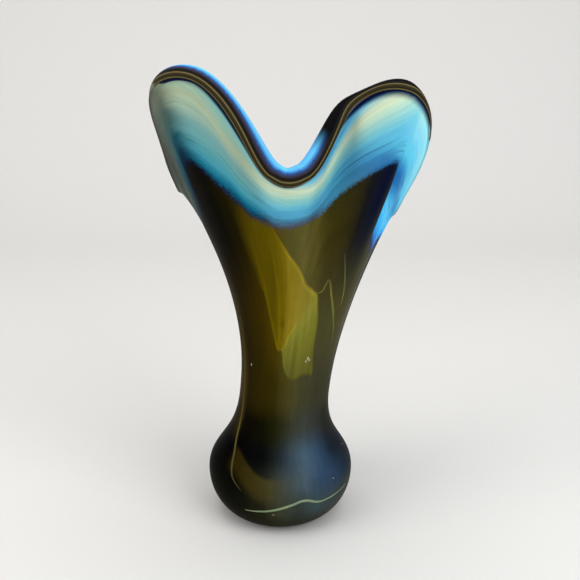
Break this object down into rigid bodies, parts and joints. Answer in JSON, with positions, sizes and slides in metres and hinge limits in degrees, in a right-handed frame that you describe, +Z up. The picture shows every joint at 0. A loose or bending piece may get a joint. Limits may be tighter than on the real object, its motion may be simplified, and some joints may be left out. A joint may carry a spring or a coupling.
{
  "type": "vase",
  "caption": "Hand blown cased art glass vase with a bulb foot, a narrow waist and a flared lobed mouth with a rolled lip, for cut flowers or display.",
  "frame": {"origin": "centre of the flat that the foot stands on", "axes": "+Z up along the foot's axis, -Y towards the front, between the two taller lobes, +X to the right seen from the front"},
  "size_m": [0.1331, 0.1401, 0.2553],
  "materials": {
    "foot_glass": "satin blue-black glass",
    "core_glass": "dark core glass, glossy inside",
    "olive_glass": "satin olive-brown glass",
    "turquoise_glass": "satin opaque turquoise glass with cream bands",
    "lining_glass": "glossy opaque blue glass",
    "bead_glass": "satin dark olive-brown glass",
    "gold_glass": "satin old-gold glass thread",
    "amber_glass": "satin amber glass",
    "celadon_glass": "satin grey-green glass"
  },
  "bodies": {
    "root": {"foot_gather": "foot_glass", "core_gather": "core_glass", "bulb_coat": "foot_glass", "body_coat": "olive_glass", "lip_wrap": "turquoise_glass", "lip_lining": "lining_glass", "lip_bead": "bead_glass", "gold_thread": "gold_glass", "amber_drape": "amber_glass", "celadon_drape": "celadon_glass", "zigzag_trail": "celadon_glass", "fine_trail": "celadon_glass", "side_trail": "amber_glass", "foot_trail": "celadon_glass"}
  },
  "joints": []
}
